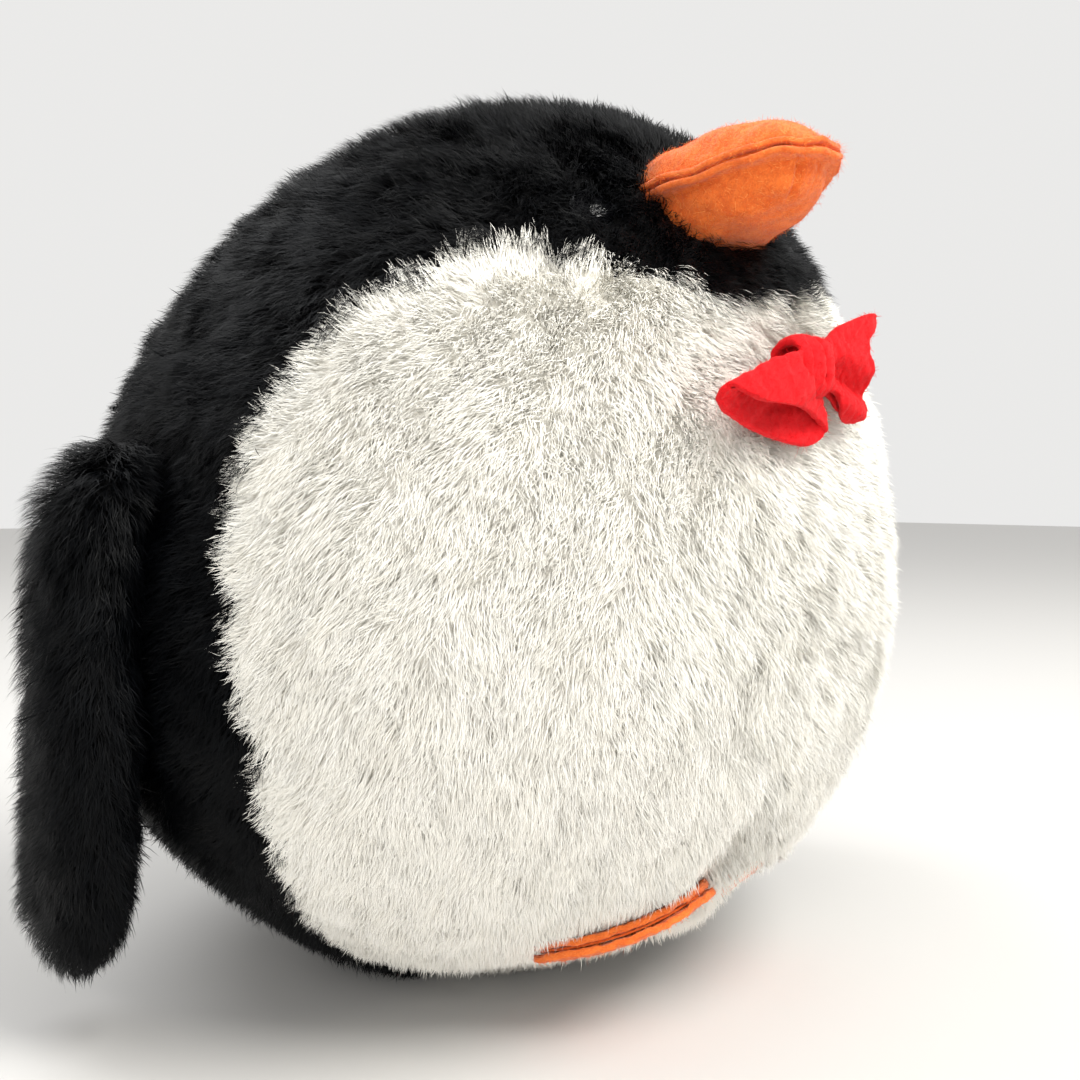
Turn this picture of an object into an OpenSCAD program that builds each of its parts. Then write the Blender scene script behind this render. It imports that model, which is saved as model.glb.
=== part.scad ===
// Plush penguin: a round stuffed body of long-pile plush with a white belly and a
// black back, two stuffed wings, a stuffed felt beak, two bead eyes, a felt bow and
// two felt feet. Millimetres. +Z is up, the penguin faces -Y, its right side is -X.
// The origin is the centre of the flat underside it sits on.
// The cloth solids stand for the knitted backing with the dense root of the pile;
// the loose ends of the pile reach pile_tips beyond them.

/* [Body] */
// Mean radius of the round body, at the ends of the pile
body_r = 85.7; // [75:0.1:95]
// Half height of the full body shape, before the underside flattens it
body_hz = 91.6; // [80:0.1:105]
// Height of the middle of the body above the surface it sits on
body_zc = 85.6; // [75:0.1:100]
// How far the loose ends of the pile stand out from the dense cloth
pile_tips = 4; // [2:0.5:8]
// Thickness of a plush panel, with its backing and the root of its pile
panel_t = 5.4; // [3:0.2:8]
// Fullness of the lower belly against the shoulders
pear = 3; // [0:0.1:6]

/* [Beak] */
// Half width of the beak where it meets the face
beak_w = 12.6; // [9:0.5:20]
// How far the beak reaches forward from its widest line
beak_l = 25.7; // [15:0.1:35]
// Rise of the upper beak above the mouth line
beak_up = 10; // [6:0.5:14]
// Drop of the lower beak below the mouth line
beak_down = 9.5; // [6:0.5:14]
// Height of the mouth line
mouth_z = 152.4; // [140:0.1:160]
// How far the beak points upward
beak_tilt = 9; // [0:1:20]
// Width of the raw felt edge along the mouth line
welt = 2.1; // [1:0.1:4]

/* [Felt] */
// Thickness of one felt layer
felt_t = 1.4; // [0.8:0.1:3]

/* [Bow] */
// Width of the bow from end to end
bow_w = 42; // [30:1:60]
// Height of the bow at its outer ends
bow_h = 23; // [14:1:34]
// Height of the knot
knot_h = 11; // [7:0.5:16]
// Height of the middle of the bow above the surface
bow_z = 119.4; // [100:0.1:135]

/* [Wings] */
// Height of the top of a wing
wing_top = 108; // [95:1:120]
// Height of the tip of a wing
wing_tip = 16.5; // [5:1:40]
// Half width of a wing at its widest
wing_w = 11.5; // [8:0.5:18]
// Half thickness of a stuffed wing
wing_t = 6.4; // [4:0.2:9]
// Thickness of a wing panel
wing_panel = 2.4; // [1.5:0.1:4]

/* [Feet] */
// Width of a foot
foot_w = 37; // [26:1:46]
// Length of a foot from its sewn heel to its toes
foot_l = 18; // [14:1:30]
// How tightly a foot curves round the belly: its bend radius
foot_bend = 54; // [35:1:120]

/* [Eyes] */
// Radius of a bead eye
eye_r = 4.6; // [3:0.1:7]

/* [Hidden] */
black = [0.03, 0.03, 0.035];
white = [0.93, 0.92, 0.9];
orange = [0.93, 0.33, 0.1];
red = [0.66, 0.05, 0.1];
fill_c = [0.95, 0.95, 0.93];
shift = 3.87;
gap = 0.2;
far = 300;

// The body is a stack of circles: t runs from 0 at the underside to 180 at the crown.
function ring_r(t, d) = (body_r - d - 0.17 * cos(t) - 1.07 * cos(2 * t) - pear * cos(3 * t)) * sin(t);
function ring_y(t) = 1.19 + 6.69 * cos(t) - 4.79 * cos(2 * t) - shift;
function ring_z(t, d) = body_zc - (body_hz - d) * cos(t);
function skin(u, t, d) = [ring_r(t, d) * cos(u), ring_y(t) + ring_r(t, d) * sin(u), ring_z(t, d)];
function out_dir(u, t) = let (v = [cos(u) * sin(t), sin(u) * sin(t), -0.94 * cos(t)]) v / norm(v);

module blob(d, nu = 40, nt = 20) {
  pts = concat([skin(0, 0, d)],
    [for (i = [1:nt - 1]) for (j = [0:nu - 1]) skin(360 * (j + 0.5) / nu, 180 * i / nt, d)],
    [skin(0, 180, d)]);
  last = (nt - 1) * nu + 1;
  polyhedron(points = pts, faces = concat(
    [for (j = [0:nu - 1]) [0, 1 + j, 1 + (j + 1) % nu]],
    [for (i = [0:nt - 3]) for (j = [0:nu - 1])
      [1 + i * nu + j, 1 + (i + 1) * nu + j, 1 + (i + 1) * nu + (j + 1) % nu, 1 + i * nu + (j + 1) % nu]],
    [for (j = [0:nu - 1]) [last, last - nu + (j + 1) % nu, last - nu + j]]), convexity = 4);
}

module half(side) {
  translate([side > 0 ? 0 : -far, -far, -far]) cube([far, 2 * far, 2 * far]);
}

module above(z) {
  translate([-far, -far, z]) cube([2 * far, 2 * far, 2 * far]);
}

// The white belly in side view: its edge climbs the flank, bites back under the
// wing and runs forward to a point at the throat.
module belly_side() {
  rotate([90, 0, 90]) translate([0, 0, -far]) linear_extrude(2 * far)
    polygon([[-9, -5], [-13, 8], [-17.5, 22], [-22, 29], [-25, 36], [-28, 42], [-31, 54],
      [-32, 65], [-31, 88], [-29.4, 102], [-30.5, 110], [-35, 116], [-37, 124], [-42, 130],
      [-50.5, 137], [-55.5, 139], [-65, 136], [-71, 133], [-120, 131], [-120, -5]]);
}

module eye_place(side, d) {
  u = side > 0 ? -64.5 : -115.5;
  t = 133.8;
  v = out_dir(u, t);
  translate(skin(u, t, d)) rotate([0, acos(v[2]), atan2(v[1], v[0])]) children();
}

module panel(side, belly) {
  difference() {
    intersection() {
      resize([0, 0, 0]) intersection() {
        difference() { blob(pile_tips); blob(pile_tips + panel_t); }
        half(side);
        if (belly) belly_side(); else difference() { above(-far); belly_side(); }
        if (belly) difference() { above(-far); foot_bed(1); foot_bed(-1); }
      }
      above(0);
    }
    if (!belly) eye_place(side, pile_tips) translate([0, 0, -20]) cylinder(r = 1.8, h = 40, $fn = 32);
    if (belly) seam_path(0.7);
  }
  // The underside closes with the same cloth, laid flat.
  difference() {
    intersection() {
      resize([0, 0, 0]) intersection() {
        blob(pile_tips + panel_t);
        half(side);
        if (belly) belly_side(); else difference() { above(-far); belly_side(); }
      }
      above(0);
      translate([-far, -far, -1]) cube([2 * far, 2 * far, 1 + panel_t]);
    }
  }
}

module belly_left() { color(white) panel(1, true); }
module belly_right() { color(white) panel(-1, true); }
module back_left() { color(black) panel(1, false); }
module back_right() { color(black) panel(-1, false); }

module body_stuffing() {
  color(fill_c) difference() {
    intersection() {
      blob(pile_tips + panel_t + gap);
      above(panel_t + gap);
    }
    for (s = [-1, 1]) eye_place(s, pile_tips + panel_t + gap) translate([0, 0, -6]) cylinder(r = 6.4, h = 20, $fn = 48);
  }
}

// The stitched slit in the middle of the lower belly that the stuffing went in by.
// It follows the arc through three points of the belly's middle line.
function seam_pt(t) = let (q = skin(-90, t, pile_tips + 0.9)) [q[1], q[2]];
function arc_mid(a, b, c) = let (
    d = 2 * (a[0] * (b[1] - c[1]) + b[0] * (c[1] - a[1]) + c[0] * (a[1] - b[1])),
    n = [a * a, b * b, c * c])
  [(n[0] * (b[1] - c[1]) + n[1] * (c[1] - a[1]) + n[2] * (a[1] - b[1])) / d,
   (n[0] * (c[0] - b[0]) + n[1] * (a[0] - c[0]) + n[2] * (b[0] - a[0])) / d];

module seam_path(r) {
  low = seam_pt(47);
  high = seam_pt(70);
  m = arc_mid(low, seam_pt(58), high);
  a0 = atan2(low[1] - m[1], low[0] - m[0]);
  a1 = atan2(high[1] - m[1], high[0] - m[0]);
  turn = a1 - a0 < -180 ? a1 - a0 + 360 : a1 - a0 > 180 ? a1 - a0 - 360 : a1 - a0;
  translate([0, m[0], m[1]]) rotate([90, 0, 90]) rotate([0, 0, turn < 0 ? a0 + turn : a0])
    rotate_extrude(angle = abs(turn), $fn = 180) translate([norm(low - m), 0]) circle(r = r, $fn = 24);
}

module closing_seam_thread() { color(white) seam_path(0.5); }

// Beak: a domed upper piece over a deeper, steeper lower one, each a half of a
// rounded wedge whose plan is half an ellipse.
function sup(x, n) = pow(max(0, 1 - pow(abs(x), n)), 1 / n);

module beak_half(up, d, nv = 10, nu = 22) {
  h = (up ? beak_up : beak_down) - d;
  n = up ? 2.5 : 2.8;
  m = up ? 2 : 2.4;
  y0 = -61.9;
  // stations along the beak, from well inside the face to the tip
  ys = [for (i = [0:nv]) i == 0 ? 12 : -(beak_l - d) * sin(90 * (i - 1) / (nv - 1)) * (i == nv ? 0.9995 : 1)];
  pts = [for (i = [0:nv]) let (q = i == 0 ? 0 : sin(90 * (i - 1) / (nv - 1)) * (i == nv ? 0.9995 : 1))
    for (j = [0:nu]) let (a = 180 * j / nu, w = (beak_w - d) * sup(q, 2), hh = h * sup(q, n))
      [w * (abs(cos(a)) < 0.0001 ? 0 : sign(cos(a)) * pow(abs(cos(a)), 2 / m)), y0 + ys[i],
       mouth_z + (up ? 1 : -1) * (hh * pow(abs(sin(a)) < 0.0001 ? 0 : sin(a), 2 / m))]];
  k = nu + 1;
  side = [for (i = [0:nv - 1]) for (j = [0:nu - 1]) each [
    [i * k + j, (i + 1) * k + j, i * k + j + 1],
    [i * k + j + 1, (i + 1) * k + j, (i + 1) * k + j + 1]]];
  flat = [for (i = [0:nv - 1]) each [
    [i * k, i * k + nu, (i + 1) * k],
    [i * k + nu, (i + 1) * k + nu, (i + 1) * k]]];
  caps = [[for (j = [0:nu]) j], [for (j = [nu:-1:0]) nv * k + j]];
  f = concat(side, flat, caps);
  polyhedron(points = pts, faces = up ? f : [for (g = f) [for (i = [len(g) - 1:-1:0]) g[i]]], convexity = 3);
}

// Turns the beak upward about the middle of the mouth line.
module beak_turn() {
  translate([0, -72, mouth_z]) rotate([-beak_tilt, 0, 0]) translate([0, 72, -mouth_z]) children();
}

module beak_plan(grow, z0, z1) {
  translate([0, -61.9, z0]) linear_extrude(z1 - z0) intersection() {
    scale([(beak_w + grow) / 10, (beak_l + grow) / 10]) circle(r = 10, $fn = 64);
    translate([-40, -60]) square([80, 60]);
  }
}

module beak_cloth(up) {
  s = up ? 1 : -1;
  resize([0, 0, 0]) difference() {
    beak_turn() difference() {
      union() {
        beak_half(up, 0);
        if (up) beak_plan(welt, mouth_z, mouth_z + felt_t); else beak_plan(welt, mouth_z - felt_t, mouth_z);
      }
      translate([0, 0, -s * 0.01]) beak_half(up, felt_t);
      // a fine line stays open between the two raw edges
      translate([-40, -120, mouth_z - 0.3]) cube([80, 80, 0.6]);
    }
    blob(pile_tips - 0.05);
  }
}

module beak_upper() { color(orange) beak_cloth(true); }
module beak_lower_left() { color(orange) intersection() { beak_cloth(false); half(1); } }
module beak_lower_right() { color(orange) intersection() { beak_cloth(false); half(-1); } }

module beak_stuffing() {
  color(fill_c) resize([0, 0, 0]) difference() {
    beak_turn() union() {
      beak_half(true, felt_t + gap);
      beak_half(false, felt_t + gap);
    }
    blob(pile_tips - 0.05);
  }
}

module beak_seam_thread() {
  color(orange) resize([0, 0, 0]) difference() {
    beak_turn() difference() {
      beak_plan(1.3, mouth_z - 0.25, mouth_z + 0.25);
      beak_plan(0.7, mouth_z - 1, mouth_z + 1);
    }
    blob(pile_tips - 0.4);
  }
}

module eye(side) {
  color(black) eye_place(side, pile_tips) {
    translate([0, 0, 0.55]) intersection() {
      translate([0, 0, -0.6]) sphere(r = eye_r, $fn = 48);
      translate([-10, -10, 0]) cube([20, 20, 20]);
    }
    translate([0, 0, -panel_t - 4.2]) cylinder(r = 1.6, h = panel_t + 4.9, $fn = 32);
  }
}
module eye_left() { eye(1); }
module eye_right() { eye(-1); }

module washer(side) {
  color(white) eye_place(side, pile_tips) difference() {
    translate([0, 0, -panel_t - 3.2]) cylinder(r = 5.6, h = 1.6, $fn = 48);
    translate([0, 0, -20]) cylinder(r = 1.65, h = 40, $fn = 32);
  }
}
module eye_washer_left() { washer(1); }
module eye_washer_right() { washer(-1); }

// Bow: each side is a strip of felt folded into a loop, pinched in the knot.
knot_y = -84.2;

module loop_line(d) {
  offset(delta = -d) polygon([[0.05, -0.9], [5, -2.1], [10, -3.4], [15, -3.9], [19, -3.2], [bow_w / 2, -0.6],
    [bow_w / 2 - 0.6, 2.2], [17.5, 4.1], [13, 4.5], [9, 3.7], [5, 2.2], [0.05, 0.9]]);
}

module bow_loop(side) {
  tilt = side > 0 ? 1 : -1;
  color(red) translate([0, knot_y, bow_z]) mirror([side > 0 ? 0 : 1, 0, 0]) resize([0, 0, 0]) intersection() {
    translate([0, 0, -20]) linear_extrude(40) difference() { loop_line(0); loop_line(felt_t - 0.1); }
    rotate([90, 0, 0]) translate([0, 0, -20]) linear_extrude(40)
      polygon([[0, -3.6], [4.8, -3.9], [9, -6.2], [bow_w / 2 - 4, -bow_h / 2 + 0.4 * tilt], [bow_w / 2, -bow_h / 2 + 2.2],
        [bow_w / 2 + 1, bow_h / 2 - 1.2], [bow_w / 2 - 2, bow_h / 2], [9, 6.2], [4.8, 3.9], [0, 3.6]]);
  }
}
module bow_loop_left() { bow_loop(1); }
module bow_loop_right() { bow_loop(-1); }

module knot_ring(grow) {
  hull() for (a = [-1, 1], b = [-1, 1])
    translate([a * (4.5 - 2.2), b * (knot_h / 2 - 2.2)]) circle(r = 2.2 + grow, $fn = 24);
}

module bow_knot() {
  color(red) translate([-4.7, knot_y, bow_z]) rotate([90, 0, 90]) linear_extrude(9.4) difference() {
    knot_ring(0);
    knot_ring(-felt_t);
  }
}

module bow_thread() {
  color(red) difference() {
    translate([0, knot_y + 4.55, bow_z]) rotate([-90, 0, 0]) cylinder(r = 0.9, h = 8, $fn = 24);
    blob(pile_tips - 0.05);
  }
}

// Wings: s runs from 0 at the sewn shoulder to 1 at the tip.
function lerp(a, b, s) = a + (b - a) * s;
function wing_round(s) = s < 0.12 ? 0.45 + 0.55 * sin(90 * s / 0.12) : s > 0.86 ? sup((s - 0.86) / 0.1403, 2.5) : 1;
function wing_x(s) = 84.4 + 6.4 * sin(90 * min(1, s / 0.2)) - 1.6 * max(0, (s - 0.45) / 0.55);
function wing_y(s) = -5.5 + 14.5 * s * s;
function wing_hw(s) = wing_w * (0.88 + 0.16 * sin(150 * min(1, s))) * wing_round(s);
function wing_ht(s) = wing_t * (1 - 0.22 * s) * wing_round(s);

module wing_body(d, na = 20) {
  ss = concat([for (i = [0:13]) i / 13 * 0.85], [for (i = [1:6]) 1 - 0.15 * pow(1 - i / 6, 1.7)]);
  ns = len(ss) - 1;
  top = wing_top - d;
  low = wing_tip + d;
  pts = [for (s = ss) for (j = [0:na - 1]) let (a = 360 * (j + 0.5) / na,
      w = max(0.4, wing_hw(s) - d), h = max(0.3, wing_ht(s) - d), c = cos(a), q = sin(a))
    [wing_x(s) + h * sign(q) * pow(abs(q), 0.85), wing_y(s) + w * sign(c) * pow(abs(c), 0.85), lerp(top, low, s)]];
  polyhedron(points = pts, faces = concat(
    [for (i = [0:ns - 1]) for (j = [0:na - 1]) each [
      [i * na + j, (i + 1) * na + j, (i + 1) * na + (j + 1) % na],
      [i * na + j, (i + 1) * na + (j + 1) % na, i * na + (j + 1) % na]]],
    [[for (j = [0:na - 1]) j], [for (j = [na - 1:-1:0]) ns * na + j]]), convexity = 3);
}

// The seam between the outer and the inner panel runs round the edge of the wing.
module wing_outside() {
  rotate([90, 0, 0]) translate([0, 0, -60]) linear_extrude(120)
    polygon([[84, 130], [84.4, 108], [88, 102], [90.8, 90], [90.8, 62], [90.2, 40], [89.2, 9], [89, -10], [140, -10], [140, 130]]);
}

module wing_shell(outer) {
  resize([0, 0, 0]) intersection() {
    difference() { wing_body(0); wing_body(wing_panel); }
    if (outer) wing_outside(); else difference() { above(-far); wing_outside(); }
  }
}

module wing_left_outer() { color(black) wing_shell(true); }
module wing_left_inner() { color(black) wing_shell(false); }
module wing_left_stuffing() { color(fill_c) wing_body(wing_panel + gap); }
module wing_right_outer() { color(black) mirror([1, 0, 0]) wing_shell(true); }
module wing_right_inner() { color(black) mirror([1, 0, 0]) wing_shell(false); }
module wing_right_stuffing() { color(fill_c) mirror([1, 0, 0]) wing_body(wing_panel + gap); }

// Feet: two layers of felt stitched round the edge, curved round the lower front of
// the belly with the heels pressed into the pile. In a foot's own frame the middle
// of the sewn heel is the origin, the toes are at +Y, +Z faces the belly and the
// layers are stacked down from z = 0. The left foot is turned a little further to
// its side and pressed flatter into the pile than the right one.
foot_heel = [[-7.6, -47.7, 16.6], [17.66, -45.04, 16.6]];
foot_toe = [[-0.497, -0.76, 0.418], [0.604, -0.491, 0.628]];
foot_away = [[0.033, -0.498, -0.867], [0.236, -0.643, -0.729]];

module foot_place(side) {
  i = side > 0 ? 1 : 0;
  y = foot_toe[i] / norm(foot_toe[i]);
  z0 = -foot_away[i];
  z1 = z0 - (z0 * y) * y;
  z = z1 / norm(z1);
  x = cross(y, z);
  h = foot_heel[i];
  multmatrix([[x[0], y[0], z[0], h[0]], [x[1], y[1], z[1], h[1]], [x[2], y[2], z[2], h[2]], [0, 0, 0, 1]]) children();
}

// A slice of a foot between two heights, its outline drawn in by d.
module foot_layer(z0, z1, d, nb = 22, na = 12) {
  pts = [for (i = [0:nb]) let (c = -cos(180 * i / nb) * 0.992, b = 0.5 + 0.5 * c,
      hw = max(0.8, (foot_w / 2 * sqrt(1 - c * c) * (0.8 + 0.28 * b)) - d),
      y = d + (foot_l - 2 * d) * b)
    each concat([for (j = [0:na]) let (a = hw * (2 * j / na - 1)) [a, y, z1 + a * a / (2 * foot_bend)]],
                [for (j = [na:-1:0]) let (a = hw * (2 * j / na - 1)) [a, y, z0 + a * a / (2 * foot_bend)]])];
  k = 2 * (na + 1);
  polyhedron(points = pts, faces = concat(
    [for (i = [0:nb - 1]) for (j = [0:k - 1]) each [
      [i * k + j, (i + 1) * k + j, i * k + (j + 1) % k],
      [i * k + (j + 1) % k, (i + 1) * k + j, (i + 1) * k + (j + 1) % k]]],
    [for (j = [0:na - 1]) each [[j, 2 * na - j, 2 * na + 1 - j], [j, j + 1, 2 * na - j]]],
    [for (j = [0:na - 1]) each [[nb * k + j, nb * k + 2 * na + 1 - j, nb * k + 2 * na - j],
      [nb * k + j, nb * k + 2 * na - j, nb * k + j + 1]]]), convexity = 4);
}

module foot_top(side) { color(orange) foot_place(side) foot_layer(-felt_t, 0, 0); }
module foot_sole(side) { color(orange) foot_place(side) foot_layer(-2 * felt_t - 0.5, -felt_t - 0.5, 0.15); }
module foot_thread(side) {
  color(orange) foot_place(side) resize([0, 0, 0]) intersection() {
    difference() {
      foot_layer(-felt_t - 0.43, -felt_t - 0.07, 1.2);
      foot_layer(-felt_t - 2, -felt_t + 2, 1.9);
    }
    translate([-50, 2.5, -20]) cube([100, 100, 40]);
  }
}

// The room a foot presses into the pile.
module foot_bed(side) { foot_place(side) foot_layer(-30, 0.45, -1.8); }

module foot_left_top() { foot_top(1); }
module foot_left_sole() { foot_sole(1); }
module foot_left_thread() { foot_thread(1); }
module foot_right_top() { foot_top(-1); }
module foot_right_sole() { foot_sole(-1); }
module foot_right_thread() { foot_thread(-1); }

belly_left();
belly_right();
back_left();
back_right();
body_stuffing();
closing_seam_thread();
beak_upper();
beak_lower_left();
beak_lower_right();
beak_stuffing();
beak_seam_thread();
eye_left();
eye_right();
eye_washer_left();
eye_washer_right();
bow_loop_left();
bow_loop_right();
bow_knot();
bow_thread();
wing_left_outer();
wing_left_inner();
wing_left_stuffing();
wing_right_outer();
wing_right_inner();
wing_right_stuffing();
foot_left_top();
foot_left_sole();
foot_left_thread();
foot_right_top();
foot_right_sole();
foot_right_thread();
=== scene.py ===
# Plush penguin: long-pile body and wings, felt beak, bow and feet, bead eyes.
# Lengths below are millimetres in the row frame; MM turns them into metres.
import math
import bpy
import numpy as np
from mathutils import Vector, Matrix, noise


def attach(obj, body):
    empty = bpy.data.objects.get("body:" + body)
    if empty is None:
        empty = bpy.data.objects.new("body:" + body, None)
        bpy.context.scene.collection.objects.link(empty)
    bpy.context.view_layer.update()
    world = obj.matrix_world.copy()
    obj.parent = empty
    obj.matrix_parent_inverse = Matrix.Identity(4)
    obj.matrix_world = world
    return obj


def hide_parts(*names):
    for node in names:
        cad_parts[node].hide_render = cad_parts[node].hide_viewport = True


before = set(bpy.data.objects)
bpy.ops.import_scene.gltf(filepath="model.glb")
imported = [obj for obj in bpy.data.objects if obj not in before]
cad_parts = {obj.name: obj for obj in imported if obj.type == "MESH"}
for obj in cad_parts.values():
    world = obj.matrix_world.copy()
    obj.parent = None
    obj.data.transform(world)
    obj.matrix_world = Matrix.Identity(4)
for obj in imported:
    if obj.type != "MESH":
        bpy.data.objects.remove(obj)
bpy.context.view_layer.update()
MM = 0.001
DENSITY = 1.0
scene = bpy.context.scene

# ---------------------------------------------------------------- camera
def make_camera():
    data = bpy.data.cameras.new("camera")
    data.sensor_fit = "HORIZONTAL"
    data.sensor_width = 36.0
    data.lens = 38.97
    data.clip_start = 0.01
    cam = bpy.data.objects.new("camera", data)
    scene.collection.objects.link(cam)
    f = Vector((0.6384, 0.7685, -0.0427)).normalized()
    r = Vector((0.7692, -0.6390, 0.0)).normalized()
    u = r.cross(f).normalized()
    m = Matrix((r, u, -f)).transposed().to_4x4()
    m.translation = Vector((-158.22, -206.39, 99.62)) * MM
    cam.matrix_world = m
    scene.camera = cam
    return cam

camera = make_camera()

# ---------------------------------------------------------------- materials
def lin(c):
    return tuple(((x / 12.92) if x <= 0.04045 else ((x + 0.055) / 1.055) ** 2.4) for x in c)

def plain(name, color, rough=0.6, spec=0.4, sheen=0.0, sheen_rough=0.4, coat=0.0, sub=0.0):
    """A fibre's material: constants only, on the shader's own sockets."""
    m = bpy.data.materials.new(name)
    m.use_nodes = True
    p = m.node_tree.nodes["Principled BSDF"]
    p.inputs["Base Color"].default_value = (*color, 1)
    p.inputs["Roughness"].default_value = rough
    p.inputs["Specular IOR Level"].default_value = spec
    p.inputs["Sheen Weight"].default_value = sheen
    p.inputs["Sheen Roughness"].default_value = sheen_rough
    p.inputs["Coat Weight"].default_value = coat
    m.diffuse_color = (*color, 1)
    return m

def nodes_of(m):
    return m.node_tree.nodes, m.node_tree.links

def cloth(name, light, dark, scale, rough=0.9, bump=0.25, bump_scale=None, sheen=0.3, stretch=(1, 1, 1), distance=0.0004, fibre=None):
    """A matted fibre surface: two tones mixed by layered noise, with a fibrous bump."""
    m = bpy.data.materials.new(name)
    m.use_nodes = True
    nodes, links = nodes_of(m)
    p = nodes["Principled BSDF"]
    tc = nodes.new("ShaderNodeTexCoord")
    mp = nodes.new("ShaderNodeMapping")
    mp.inputs["Scale"].default_value = stretch
    links.new(tc.outputs["Object"], mp.inputs["Vector"])
    n1 = nodes.new("ShaderNodeTexNoise")
    n1.inputs["Scale"].default_value = scale
    n1.inputs["Detail"].default_value = 8
    n1.inputs["Roughness"].default_value = 0.65
    links.new(mp.outputs[0], n1.inputs["Vector"])
    n2 = nodes.new("ShaderNodeTexNoise")
    n2.inputs["Scale"].default_value = bump_scale or scale * 6
    n2.inputs["Detail"].default_value = 6
    n2.inputs["Roughness"].default_value = 0.7
    n2.inputs["Distortion"].default_value = 1.2
    links.new(mp.outputs[0], n2.inputs["Vector"])
    mixer = nodes.new("ShaderNodeMix")
    mixer.data_type = "FLOAT"
    mixer.inputs[0].default_value = 0.5
    links.new(n1.outputs["Fac"], mixer.inputs[2])
    links.new(n2.outputs["Fac"], mixer.inputs[3])
    ramp = nodes.new("ShaderNodeValToRGB")
    ramp.color_ramp.elements[0].position = 0.36
    ramp.color_ramp.elements[0].color = (*dark, 1)
    ramp.color_ramp.elements[1].position = 0.62
    ramp.color_ramp.elements[1].color = (*light, 1)
    links.new(mixer.outputs[0], ramp.inputs[0])
    links.new(ramp.outputs[0], p.inputs["Base Color"])
    b = nodes.new("ShaderNodeBump")
    b.inputs["Strength"].default_value = bump
    b.inputs["Distance"].default_value = distance
    links.new(n2.outputs["Fac"], b.inputs["Height"])
    links.new(b.outputs[0], p.inputs["Normal"])
    p.inputs["Roughness"].default_value = rough
    p.inputs["Sheen Weight"].default_value = sheen
    p.inputs["Sheen Roughness"].default_value = 0.5
    p.inputs["Specular IOR Level"].default_value = 0.25
    m.diffuse_color = (*light, 1)
    return m

WHITE_FIBRES = [
    # colour 0 goes on every fibre's root, a little darker than the ends: painted shade for the shadow deep in the pile
    plain("white_fibre_root_painted_shade", (0.966, 0.943, 0.870), 0.75, 0.15),
    plain("white_fibre_a", (0.975, 0.956, 0.890), 0.6, 0.3),
    plain("white_fibre_b", (0.986, 0.971, 0.916), 0.55, 0.35),
    plain("white_fibre_c", (0.956, 0.931, 0.855), 0.6, 0.3),
]
BLACK_FIBRES = [
    # the root colour is darker than the ends: painted shade for the shadow deep in the pile
    plain("black_fibre_root_painted_shade", (0.0005, 0.0006, 0.0009), 0.7, 0.03),
    plain("black_fibre_a", (0.0011, 0.0014, 0.0020), 0.38, 0.07),
    plain("black_fibre_b", (0.0020, 0.0025, 0.0034), 0.42, 0.08),
    plain("black_fibre_c", (0.0008, 0.0010, 0.0014), 0.36, 0.10),
]
# white_plush is a little darker than the pile's ends: painted shade for the gaps between the tufts, besides the cloth's
# own mottling
WHITE_BASE = cloth("white_plush", (0.965, 0.942, 0.875), (0.93, 0.90, 0.825), 260, bump=0.6, bump_scale=900, distance=0.0006)
BLACK_BASE = cloth("black_plush", (0.004, 0.004, 0.005), (0.001, 0.001, 0.0014), 260, rough=0.8, bump=0.6, bump_scale=900, sheen=0.0, distance=0.0006)

# ---------------------------------------------------------------- the body's shape
BODY_R, BODY_HZ, BODY_ZC, PEAR, SHIFT = 85.7, 91.6, 85.6, 3.0, 3.87

def ring(t):
    a = BODY_R - 0.17 * np.cos(t) - 1.07 * np.cos(2 * t) - PEAR * np.cos(3 * t)
    return a, 1.19 + 6.69 * np.cos(t) - 4.79 * np.cos(2 * t) - SHIFT

def skin(u, t, d=0.0):
    """A point of the body at turn u and climb t (0 under, pi at the crown), d inside the ends of the pile."""
    a, yc = ring(t)
    r = (a - d) * np.sin(t)
    return np.stack([r * np.cos(u), yc + r * np.sin(u), BODY_ZC - (BODY_HZ - d) * np.cos(t)], -1)

def frame_at(u, t, d=0.0, e=1e-3):
    p = skin(u, t, d)
    du = skin(u + e, t, d) - skin(u - e, t, d)
    dt = skin(u, t + e, d) - skin(u, t - e, d)
    n = np.cross(du, dt)
    n /= np.linalg.norm(n, axis=-1, keepdims=True)
    return p, n

BELLY_EDGE = np.array([[-9, -5], [-13, 8], [-17.5, 22], [-22, 29], [-25, 36], [-28, 42], [-31, 54],
    [-32, 65], [-31, 88], [-29.4, 102], [-30.5, 110], [-35, 116], [-37, 124], [-42, 130],
    [-50.5, 137], [-55.5, 139], [-65, 136], [-71, 133], [-120, 131], [-120, -5]], float)

def in_polygon(y, z, poly):
    hit = np.zeros(y.shape, bool)
    x1, y1 = poly[:, 0], poly[:, 1]
    x2, y2 = np.roll(x1, -1), np.roll(y1, -1)
    for a, b, c, d in zip(x1, y1, x2, y2):
        cross = (b > z) != (d > z)
        with np.errstate(divide="ignore", invalid="ignore"):
            xs = (c - a) * (z - b) / (d - b) + a
        hit ^= cross & (y < xs)
    return hit

def to_edge(p):
    """How far each point is from the belly's seam, seen from the side, and the way to it."""
    yz = p[:, 1:3]
    best = np.full(len(p), 1e9)
    near = np.zeros((len(p), 2))
    for a, b in zip(BELLY_EDGE[:-2], BELLY_EDGE[1:-1]):
        ab = b - a
        k = np.clip(((yz - a) @ ab) / (ab @ ab), 0, 1)
        q = a + k[:, None] * ab
        d = np.linalg.norm(yz - q, axis=1)
        hit = d < best
        best = np.where(hit, d, best)
        near[hit] = (q - yz)[hit]
    out = np.concatenate([np.zeros((len(p), 1)), near / np.maximum(best, 1e-6)[:, None]], 1)
    return best, out

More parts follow.
